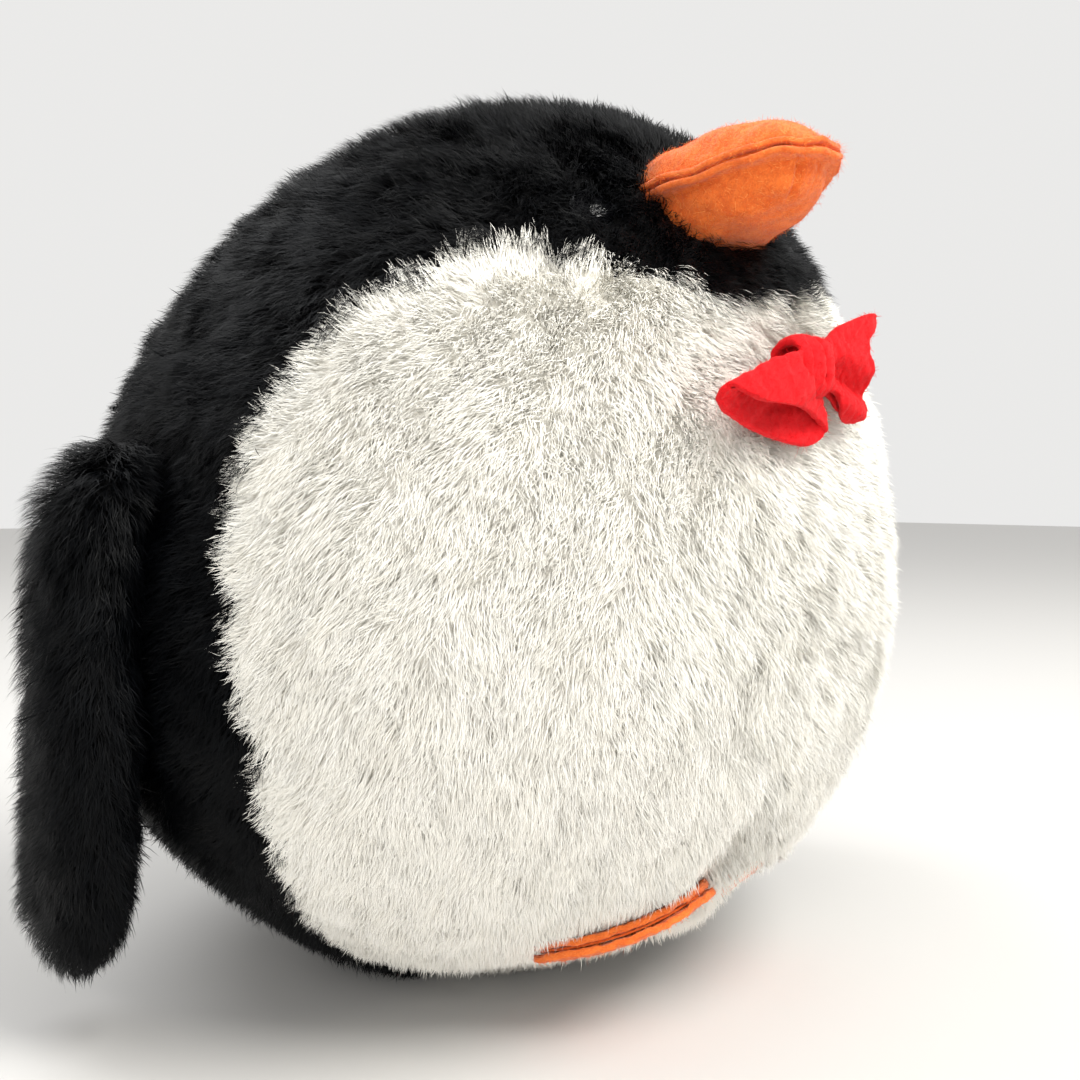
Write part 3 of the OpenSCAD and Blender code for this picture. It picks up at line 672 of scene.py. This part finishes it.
def beak_piece(up):
    """The dome and the raw edge of one side of the beak, as a skin open at the back, which beak() closes. Rows run from
    the middle of the dome out to the edge and back in along the mouth; columns run round the plan."""
    back = 9.0
    s = np.concatenate([np.linspace(-back, 0, 14)[:-1] / 10 - 0.0, np.linspace(0, np.pi, 120), np.pi + np.linspace(0, back, 14)[1:] / 10])
    # plan of the edge, its outward direction and how much of it lies on the front ellipse
    def plan(scale_w, scale_l, grow):
        x = np.where(s < 0, scale_w, np.where(s > np.pi, -scale_w, scale_w * np.cos(np.clip(s, 0, np.pi))))
        y = np.where(s < 0, -s * 10, np.where(s > np.pi, (s - np.pi) * 10, -scale_l * np.sin(np.clip(s, 0, np.pi))))
        nx = np.cos(np.clip(s, 0, np.pi)) / BEAK_W
        ny = -np.sin(np.clip(s, 0, np.pi)) / BEAK_L
        k = np.hypot(nx, ny)
        return x + grow * nx / k, BEAK_Y + y + grow * ny / k
    sign = 1 if up else -1
    H = BEAK_UP if up else BEAK_DOWN
    e = 2.45 if up else 2.9
    inset = 0.6 if up else 0.75
    arc = np.concatenate([s[:13] * 10 * 1.0 - 0, np.linspace(0, 62, 120), 62 + (s[133:] - np.pi) * 10])
    wav = 0.55 * np.sin(arc * 0.43 + (0 if up else 1.7)) + 0.35 * np.sin(arc * 0.97 + 0.6) + 0.22 * np.sin(arc * 1.9 + 2.1)
    front = np.sin(np.clip(s, 0, np.pi))
    rows = []
    taus = np.linspace(0, 1, 46)
    for k in taus:
        tau = np.radians(84) * k
        rho, h = math.sin(tau) ** (2 / e), math.cos(tau) ** (2 / e)
        x, y = plan(rho * (BEAK_W - inset), rho * (BEAK_L - inset), 0)
        z = H * h * np.ones_like(x)
        if not up:
            # the lower piece is drawn up a little behind the tip, and its dart is pulled in
            dart = np.exp(-((s - 1.86) / 0.035) ** 2) * np.clip((rho - 0.80) / 0.12, 0, 1)
            mid = np.exp(-((s - np.pi / 2) / 0.03) ** 2) * np.clip((rho - 0.7) / 0.2, 0, 1)
            x = x * (1 - 0.03 * dart)
            y = BEAK_Y + (y - BEAK_Y) * (1 - 0.045 * dart - 0.008 * mid)
            z = z * (1 - 0.02 * dart)
        rows.append(np.stack([x, y, sign * z], -1))
    # from the foot of the dome out over the raw edge and back in
    t = 1.4
    for grow, z in ((-0.55, 1.62), (-0.2, 1.42), (0.2, 1.34), (0.7, 1.36), (1.2, 1.42), (1.6, 1.42), (1.9, 1.3), (2.05, 1.05),
                    (2.12, 0.75), (2.06, 0.5), (1.9, 0.34), (1.5, 0.28), (0.8, 0.26), (0.0, 0.25)):
        g = grow if not up else grow + 0.0
        out = np.clip((grow + 0.2) / 1.2, 0, 1)
        x, y = plan(BEAK_W, BEAK_L, g + 0.28 * wav * out)
        lift = 0.32 * np.sin(arc * 0.31 + 0.9) + 0.2 * np.sin(arc * 0.74 + 2.2)
        rows.append(np.stack([x, y, sign * np.full_like(x, z) + (0.95 * lift + sign * 0.12 * wav) * out], -1))
    for rho in (0.9, 0.6, 0.3, 0.0):
        x, y = plan(rho * BEAK_W, rho * BEAK_L, 0)
        rows.append(np.stack([x, y, np.full_like(x, sign * 0.15)], -1))
    rows = np.array(rows)
    # soft lumps of the stuffing behind the felt
    flat = rows.reshape(-1, 3) + np.array([0, 0, MOUTH_Z])
    lump = (0.22 * waves(flat, 101, 9) + 0.12 * waves(flat, 102, 4)).reshape(rows.shape[:2])
    fade = np.zeros(len(rows)); fade[:46] = np.clip((1 - taus) * 8, 0, 1)
    rows[:, :, 2] += sign * lump * fade[:, None]
    rows[:, :, 0] += 0.6 * np.sign(rows[:, :, 0]) * lump * fade[:, None]
    rows[:, :, 2] += MOUTH_Z
    # the rows are kept as they are; beak() closes the back
    out = []
    for r in rows:
        out.append(r)
    rows = np.array(out)
    n, m, _ = rows.shape
    q = grid_faces(n, m, False)
    verts = beak_turn(rows.reshape(-1, 3))
    return verts, q, n, m

def beak():
    made = []
    for up, names in ((True, ("beak_upper",)), (False, ("beak_lower_left", "beak_lower_right"))):
        verts, q, n, m = beak_piece(up)
        # a closing wall across the back, between the two ends of every row
        idx = np.arange(n * m).reshape(n, m)
        wall = np.stack([idx[:-1, 0], idx[1:, 0], idx[1:, -1], idx[:-1, -1]], -1)
        faces = np.vstack([q, wall])
        if up:
            o = mesh_from("beak_upper_felt", verts, faces.ravel(), np.full(len(faces), 4), [ORANGE_FELT])
            weld(o)
            parts = [(o, "beak_upper")]
        else:
            parts = []
            cx = verts[faces].mean(1)[:, 0]
            for nm, sel in (("beak_lower_left", cx >= 0), ("beak_lower_right", cx < 0)):
                f = faces[sel]
                used, inv = np.unique(f.ravel(), return_inverse=True)
                o = mesh_from(nm + "_felt", verts[used], inv, np.full(len(f), 4), [ORANGE_FELT])
                weld(o)
                parts.append((o, nm))
        for o, nm in parts:
            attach(o, "body")
            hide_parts(nm)
            made.append(o)
    fuzz("beak_fuzz", made, 9.0, 1.05, 0.055, ORANGE_FUZZ, "body", 201, lie=0.86,
         keep=lambda P: (P[:, 1] < -55) & (np.abs(beak_level(P)[:, 2] - MOUTH_Z) > 0.5))

# ---------------------------------------------------------------- bow
KNOT = np.array([0.0, -84.2, 119.4])

def thick_sheet(name, outline, centre, fn, thick, mat, body, n=150, seed=1, replaces=()):
    """A felt sheet cut to outline (in its own plane), laid in space by fn(a, b), with a rounded raw edge."""
    o2 = closed_curve(outline, n)
    c = np.asarray(centre, float)
    rho = np.concatenate([np.linspace(0, 0.8, 16)[:-1], 1 - 0.2 * np.linspace(1, 0, 16) ** 2.3])
    e = 0.02
    front, back = [], []
    for r in rho:
        q = c + (o2 - c) * r
        p = fn(q[:, 0], q[:, 1])
        pa = fn(q[:, 0] + e, q[:, 1]) - fn(q[:, 0] - e, q[:, 1])
        pb = fn(q[:, 0], q[:, 1] + e) - fn(q[:, 0], q[:, 1] - e)
        nn = unit(np.cross(pa, pb))
        d = np.linalg.norm(o2 - c, axis=1) * (1 - r)
        k = np.clip(d / (0.42 * thick), 0, 1)
        h = 0.5 * thick * np.maximum(0, 1 - (1 - k) ** 3.2) ** (1 / 3.2)
        lump = 0.10 * waves(p, seed, 3.0) + 0.07 * waves(p, seed + 1, 1.4)
        front.append(p + nn * (h + lump * (k > 0.02))[:, None])
        back.append(p - nn * (h - lump * (k > 0.02))[:, None])
    rows = np.array(front + back[::-1])
    return solid_from_rows(name, rows, True, mat, body, replaces)

def thick_tube(name, P, thick, mat, body, seed, replaces=(), ends=(True, True)):
    """P (n, m, 3): the middle surface of an open-ended tube of felt, columns round it."""
    n, m, _ = P.shape
    du = np.roll(P, -1, 1) - np.roll(P, 1, 1)
    dv = np.gradient(P, axis=0)
    N = unit(np.cross(dv, du))
    mid = P.mean(1, keepdims=True)
    if ((P - mid) * N).sum() < 0:
        N = -N
    along = np.linalg.norm(np.diff(P, axis=0), axis=2)
    s = np.vstack([np.zeros((1, m)), np.cumsum(along, 0)])
    d = np.minimum(s, s[-1] - s) if all(ends) else (s[-1] - s if ends[1] else s)
    k = np.clip(d / (0.42 * thick), 0, 1)
    h = 0.5 * thick * np.maximum(0, 1 - (1 - k) ** 3.2) ** (1 / 3.2)
    flat = P.reshape(-1, 3)
    lump = (0.10 * waves(flat, seed, 3.0) + 0.07 * waves(flat, seed + 1, 1.4)).reshape(n, m)
    outer = P + N * (h + lump * (k > 0.02))[:, :, None]
    inner = P - N * (h - lump * (k > 0.02))[:, :, None]
    rows = np.concatenate([outer, inner[::-1]])
    if not ends[0]:
        rows = np.concatenate([rows, outer[:1]])
    return solid_from_rows(name, rows, True, mat, body, replaces)

def bow():
    made = []
    rim = closed_curve([(-22.7, -86.0, 114.1), (-22.6, -87.1, 115.0), (-21.2, -87.9, 115.4), (-16.6, -88.5, 113.6), (-10.2, -88.6, 113.2),
                        (-4.4, -87.6, 112.8), (1.0, -86.0, 111.5), (5.0, -84.9, 109.2), (0.9, -84.3, 106.9), (-8.6, -84.4, 108.2),
                        (-17.0, -84.8, 110.4), (-21.5, -85.3, 112.4)], None)
    root = closed_curve([(-3.6, -85.6, 118.6), (-3.6, -86.4, 120.0), (-3.5, -86.6, 121.6), (-3.2, -86.7, 121.9), (-2.4, -86.7, 120.9),
                         (-1.4, -86.5, 119.4), (0.4, -85.8, 118.0), (1.6, -84.4, 116.9), (0.6, -83.4, 116.5), (-1.6, -83.2, 117.0),
                         (-3.0, -83.6, 117.7), (-3.6, -84.5, 118.1)], None)
    idx = np.linspace(0, len(rim), 170, endpoint=False).astype(int)
    rim, root = rim[idx], root[idx]
    n = 60
    s = 1 - (1 - np.linspace(0, 1, n)) ** 1.25
    S = s[:, None, None]
    P = root[None] * (1 - S) + rim[None] * S
    mid = P.mean(1, keepdims=True)
    away = unit(P - mid)
    swell = np.sin(np.pi * np.clip(s, 0, 1))[:, None]
    ph = np.linspace(0, 2 * np.pi, P.shape[1], endpoint=False)[None]
    pleat = 0.55 * np.sin(5 * ph + 0.6 + 2.0 * s[:, None]) * swell * (1 - 0.6 * s[:, None])
    P = P + away * (0.85 * swell + pleat)[:, :, None]
    made.append(thick_tube("bow_loop_right_felt", P, 1.25, RED_FELT, "body", 211, ("bow_loop_right",), ends=(True, True)))

    outline = [(2.6, 124.0), (7.6, 127.0), (11.8, 128.5), (16.3, 130.0), (19.4, 130.7), (21.0, 130.2), (20.7, 128.7), (18.6, 126.9), (17.3, 125.0),
               (17.6, 122.5), (18.3, 119.5), (18.7, 116.5), (18.3, 113.8), (16.9, 112.1), (14.2, 111.4), (11.0, 112.2), (8.8, 113.8),
               (6.4, 115.7), (2.6, 116.4)]
    def lobe(x, z):
        out = np.clip((x - 2.0) / 12.0, 0, 1.3)
        line = (z - 120.4) - (-0.28) * (x - 3.0)
        y = -85.3 + 0.6 * out
        y = y + 1.9 * np.exp(-(line / (1.3 + 1.6 * out)) ** 2) * (0.35 + out)
        y = y - 1.2 * np.exp(-((line - 3.6) / (1.6 + 1.2 * out)) ** 2) * (0.35 + 0.7 * out)
        y = y - 1.3 * np.exp(-((line + 3.8) / (1.8 + 1.4 * out)) ** 2) * (0.4 + 0.7 * out)
        curl = np.clip((115.6 - z) / 4.2, 0, 1) ** 2
        y = y + 3.0 * curl + 1.4 * np.clip((x - 17.5) / 3.5, 0, 1) ** 2
        # the sheet is gathered towards the knot
        zz = 119.9 + (z - 119.9) * (0.78 + 0.22 * np.clip((x - 2) / 6, 0, 1))
        return np.stack([x, y, zz], -1)
    made.append(thick_sheet("bow_loop_left_felt", outline, (9.0, 122.4), lobe, 1.3, RED_FELT, "body", n=190, seed=221, replaces=("bow_loop_left",)))
    # the tail of the left loop, folded back under it
    def under(x, z):
        p = lobe(x, z)
        p[:, 1] = p[:, 1] + 2.3 - 0.6 * np.clip((z - 122) / 6, 0, 1)
        p[:, 2] = p[:, 2] + 0.25
        return p
    outline2 = [(2.8, 122.5), (6.5, 124.2), (11.0, 125.6), (15.2, 125.4), (16.6, 122.8), (17.1, 119.5), (17.0, 116.0), (15.6, 113.6), (13.2, 112.9),
                (10.2, 113.6), (7.2, 115.4), (2.8, 116.8)]
    made.append(thick_sheet("bow_loop_left_fold", outline2, (10.0, 119.5), under, 1.2, RED_FELT, "body", n=150, seed=225))

    # knot: a short band of felt wrapped round the middle
    m, n = 150, 44
    ph = np.linspace(0, 2 * np.pi, m, endpoint=False)
    xs = np.linspace(-1, 1, n)
    P = np.empty((n, m, 3))
    for i, x in enumerate(xs):
        c, q = np.cos(ph), np.sin(ph)
        ry, rz = 3.75 - 1.15 * x ** 4, 5.0 - 1.2 * x ** 4
        yy = ry * np.sign(c) * np.abs(c) ** 0.82
        zz = rz * np.sign(q) * np.abs(q) ** 0.82
        half = 4.1 + 0.45 * q + 0.25 * np.sin(2 * ph)
        xx = x * half + 0.9 * q * 0.5
        crease = np.exp(-((x - 0.28 + 0.28 * q) / 0.16) ** 2) * np.clip(-c, 0, 1)
        crease2 = np.exp(-((x + 0.52 + 0.1 * q) / 0.14) ** 2) * np.clip(-c * 0.7 + 0.4 * q, 0, 1)
        k = 1 - 0.13 * crease - 0.12 * crease2
        P[i] = np.stack([xx, KNOT[1] + yy * k, KNOT[2] + 0.2 + zz * (1 - 0.05 * crease)], -1)
    made.append(thick_tube("bow_knot_felt", P, 1.25, RED_FELT, "body", 231, ("bow_knot",)))
    fuzz("bow_fuzz", made, 8.0, 0.85, 0.05, RED_FUZZ, "body", 241, lie=0.86)

# ---------------------------------------------------------------- feet
FOOT_W, FOOT_L, FOOT_BEND, FELT = 37.0, 18.0, 54.0, 1.4
FOOT = {"right": ((-7.6, -47.7, 16.6), (-0.497, -0.76, 0.418), (0.033, -0.498, -0.867)),
        "left": ((17.66, -45.04, 16.6), (0.604, -0.491, 0.628), (0.236, -0.643, -0.729))}

def foot_axes(side):
    h, toe, away = (np.array(v, float) for v in FOOT[side])
    y = toe / np.linalg.norm(toe)
    z = -away - (-away @ y) * y
    z /= np.linalg.norm(z)
    return h, np.cross(y, z), y, z

def foot_local(side, p):
    h, x, y, z = foot_axes(side)
    q = p - h
    return np.stack([q @ x, q @ y, q @ z], -1)

def foot_half_width(b):
    c = 2 * b - 1
    return FOOT_W / 2 * np.sqrt(np.maximum(0, 1 - c * c)) * (0.8 + 0.28 * b)

def clear_of_feet(p, spare, edge=0.0):
    """Moves points that would lie in a foot up against its inner face."""
    p = np.array(p, float)
    for side in ("left", "right"):
        h, x, y, z = foot_axes(side)
        q = p - h
        a, b, c = q @ x, q @ y, q @ z
        inside = (b > -edge) & (b < FOOT_L + edge) & (np.abs(a) < foot_half_width(np.clip(b / FOOT_L, 0.001, 0.999)) + edge) & (c > -25)
        want = spare + a * a / (2 * FOOT_BEND)
        push = np.where(inside & (c < want), want - c, 0)
        p = p + push[:, None] * z
    return p

def feet():
    for side in ("left", "right"):
        h, x, y, z = foot_axes(side)
        made = []
        bb = 0.5 - 0.5 * np.cos(np.linspace(0, np.pi, 26))
        hw = foot_half_width(bb)
        rgt = np.stack([hw, FOOT_L * bb], -1)
        lft = np.stack([-hw[::-1], FOOT_L * bb[::-1]], -1)
        base = np.vstack([rgt[:-1], lft[:-1]])
        rng = np.random.default_rng(301 if side == "left" else 302)
        for part, mid, grow, sd in (("top", -0.5 * FELT, -0.1, 311), ("sole", -1.5 * FELT - 0.5, 0.15, 321)):
            ang = np.arctan2(base[:, 1] - FOOT_L / 2, base[:, 0] / 2)
            wob = 0.22 * np.sin(5 * ang + sd) + 0.16 * np.sin(9 * ang + 2 * sd)
            c0 = np.array([0.0, FOOT_L * 0.52])
            k = 1 + (grow - 0.25 + wob) / np.linalg.norm(base - c0, axis=1)
            outl = c0 + (base - c0) * k[:, None]
            sgn = -1 if part == "sole" else 1
            def lay(a, b, mid=mid, sgn=sgn):
                t = np.clip(b / FOOT_L, 0, 1)
                edge = np.clip((np.abs(a) / (foot_half_width(np.clip(t, 0.02, 0.98)) + 0.01)), 0, 1)
                flare = sgn * 0.0 + 0.35 * np.sin(0.55 * a + (0.5 if sgn > 0 else 1.4)) * np.clip(t * 1.3, 0, 1) * edge ** 3
                c = mid + a * a / (2 * FOOT_BEND) + 0.5 * flare - (0.25 * t * t if sgn < 0 else -0.0)
                return h + a[:, None] * x + b[:, None] * y + c[:, None] * z
            o = thick_sheet(f"foot_{side}_{part}_felt", outl, c0, lay, FELT - 0.15, ORANGE_FELT, f"foot_{side}", n=200, seed=sd,
                            replaces=(f"foot_{side}_{part}",))
            made.append(o)
        fuzz(f"foot_{side}_fuzz", made, 8.0, 0.8, 0.05, ORANGE_FUZZ, f"foot_{side}", 331, lie=0.86,
             keep=(lambda P: np.abs(foot_local("left", P)[:, 0] + 5.5) < 6.5) if side == "left" else None)

# ---------------------------------------------------------------- eyes
EYE_R, EYE_T = 4.6, math.radians(133.8)
EYE_U = {"left": math.radians(-64.5), "right": math.radians(-115.5)}

def eye_frame(side):
    p, n = frame_at(np.array([EYE_U[side]]), np.array([EYE_T]), 4.0)
    return p[0], n[0]

def eyes():
    m = bpy.data.materials.new("eye_bead")
    m.use_nodes = True
    q = m.node_tree.nodes["Principled BSDF"]
    q.inputs["Base Color"].default_value = (0.004, 0.004, 0.005, 1)
    q.inputs["Roughness"].default_value = 0.07
    q.inputs["Specular IOR Level"].default_value = 0.22
    for side in ("left", "right"):
        c, n = eye_frame(side)
        a = unit(np.cross(n, np.array([0.0, 0.0, 1.0])))
        b = np.cross(n, a)
        # a flattened dome with a rolled rim and a stem that passes through the cloth
        prof = [(0.0, 2.25)]
        for k in np.linspace(0.06, 1, 22):
            ang = k * math.pi / 2
            prof.append((4.15 * math.sin(ang) ** 0.96, 0.75 + 1.5 * math.cos(ang)))
        prof += [(4.32, 0.55), (4.36, 0.35), (4.25, 0.15), (4.0, 0.05), (3.0, 0.0), (1.6, 0.0), (1.55, -0.4), (1.55, -9.3), (1.2, -9.6), (0.0, -9.6)]
        ph = np.linspace(0, 2 * np.pi, 72, endpoint=False)
        rows = np.array([[c + r * math.cos(t) * a + r * math.sin(t) * b + (z + 0.1) * n for t in ph] for r, z in prof])
        o = solid_from_rows(f"eye_{side}_bead", rows, True, m, "body", (f"eye_{side}",))

def hidden_parts():
    """What's inside or between the cloth: the fill, the washers and the sewing threads."""
    washer = cloth("washer_plastic", (0.82, 0.81, 0.78), (0.74, 0.73, 0.70), 90, rough=0.45, bump=0.08, bump_scale=400, sheen=0.0)
    for node, mat in (("body_stuffing", FILL), ("beak_stuffing", FILL), ("wing_left_stuffing", FILL), ("wing_right_stuffing", FILL),
                      ("closing_seam_thread", WHITE_THREAD), ("beak_seam_thread", ORANGE_THREAD), ("bow_thread", RED_THREAD),
                      ("foot_left_thread", ORANGE_THREAD), ("foot_right_thread", ORANGE_THREAD),
                      ("eye_washer_left", washer), ("eye_washer_right", washer)):
        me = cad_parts[node].data
        me.materials.clear()
        me.materials.append(mat)
        for f in me.polygons:
            f.material_index = 0

hidden_parts()
base_coat()
body_pile()
beak()
bow()
feet()
eyes()
wing("left")
wing("right")

# ---------------------------------------------------------------- stage and light
def stage():
    me = bpy.data.meshes.new("floor")
    r = 3.0
    me.from_pydata([(-r, -r, 0), (r, -r, 0), (r, r, 0), (-r, r, 0)], [], [(0, 1, 2, 3)])
    floor = link(bpy.data.objects.new("floor", me))
    m = plain("floor_grey", (0.62, 0.61, 0.595), 0.6, 0.15)
    me.materials.append(m)
    w = bpy.data.worlds.new("studio")
    scene.world = w
    w.use_nodes = True
    bg = w.node_tree.nodes["Background"]
    bg.inputs[0].default_value = (0.90, 0.895, 0.885, 1)
    bg.inputs[1].default_value = 0.92

    def area(name, place, target, size, power, color=(1, 1, 1)):
        d = bpy.data.lights.new(name, "AREA")
        d.shape = "DISK"
        d.size = size
        d.energy = power
        d.color = color
        o = link(bpy.data.objects.new(name, d))
        o.location = place
        o.rotation_euler = (Vector(target) - Vector(place)).to_track_quat("-Z", "Y").to_euler()
        return o
    mid = (0, 0, 0.09)
    area("key", (0.14, -0.68, 0.92), mid, 0.6, 13.8, (1.0, 0.985, 0.945))
    area("over", (-0.25, 0.35, 0.95), mid, 0.6, 3.6, (0.97, 0.985, 1.0))
    area("fill", (-0.62, -0.70, 0.38), mid, 0.7, 2.5, (1.0, 0.985, 0.95))

stage()
scene.view_settings.view_transform = "Standard"
scene.cycles.use_denoising = True
